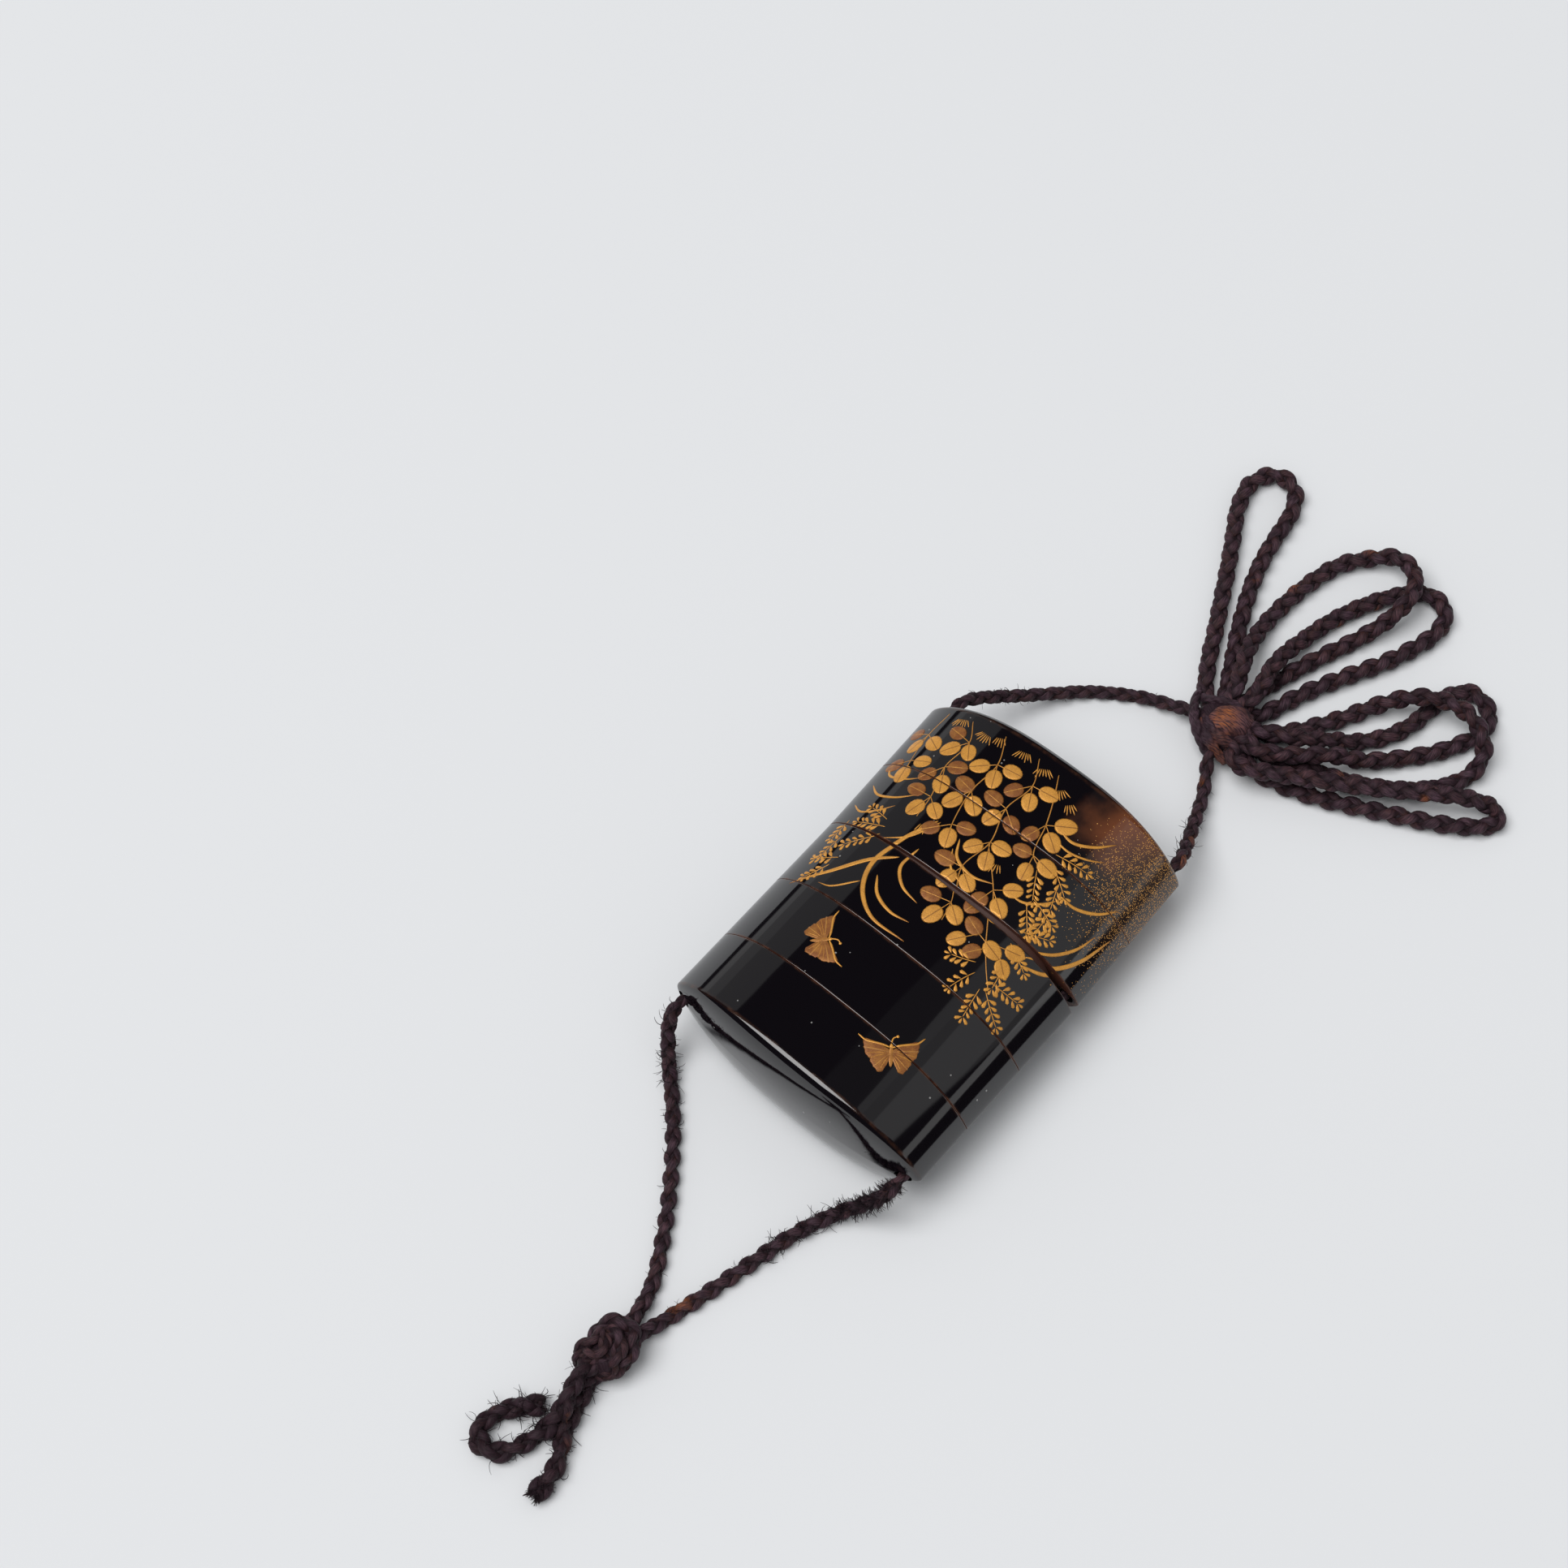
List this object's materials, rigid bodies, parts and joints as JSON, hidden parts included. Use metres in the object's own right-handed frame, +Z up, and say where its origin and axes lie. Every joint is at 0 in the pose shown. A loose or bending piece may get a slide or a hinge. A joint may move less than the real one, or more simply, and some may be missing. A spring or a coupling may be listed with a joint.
{
  "type": "inro case",
  "caption": "Flat lacquered case of stacked hollow sections on a braided cord with a bow and an end knot, lying on its back; it holds small things.",
  "frame": {"origin": "middle of the case, cord left out, on the surface that it lies on", "axes": "+Y along the case from its base to its lid, +X across it, +Z up through its front"},
  "size_m": [0.0979, 0.2617, 0.025],
  "materials": {
    "lacquer": "glossy black lacquer over thin wood, with gold and copper sprinkled decoration",
    "cord": "matt worn purple-brown silk braid"
  },
  "bodies": {
    "root": {"base_tier": "lacquer", "tier_3": "lacquer", "tier_2": "lacquer", "tier_1": "lacquer", "lid": "lacquer", "cord_base_left": "cord", "cord_base_right": "cord", "cord_channel_left": "cord", "cord_channel_right": "cord", "cord_top_left": "cord", "cord_top_right": "cord", "cord_tail_loop": "cord", "cord_tail_end": "cord", "bow_loop_1": "cord", "bow_loop_2": "cord", "bow_loop_3": "cord", "bow_loop_4": "cord", "bow_loop_5": "cord", "bow_loop_6": "cord", "bow_knot": "cord", "end_knot": "cord"}
  },
  "joints": []
}
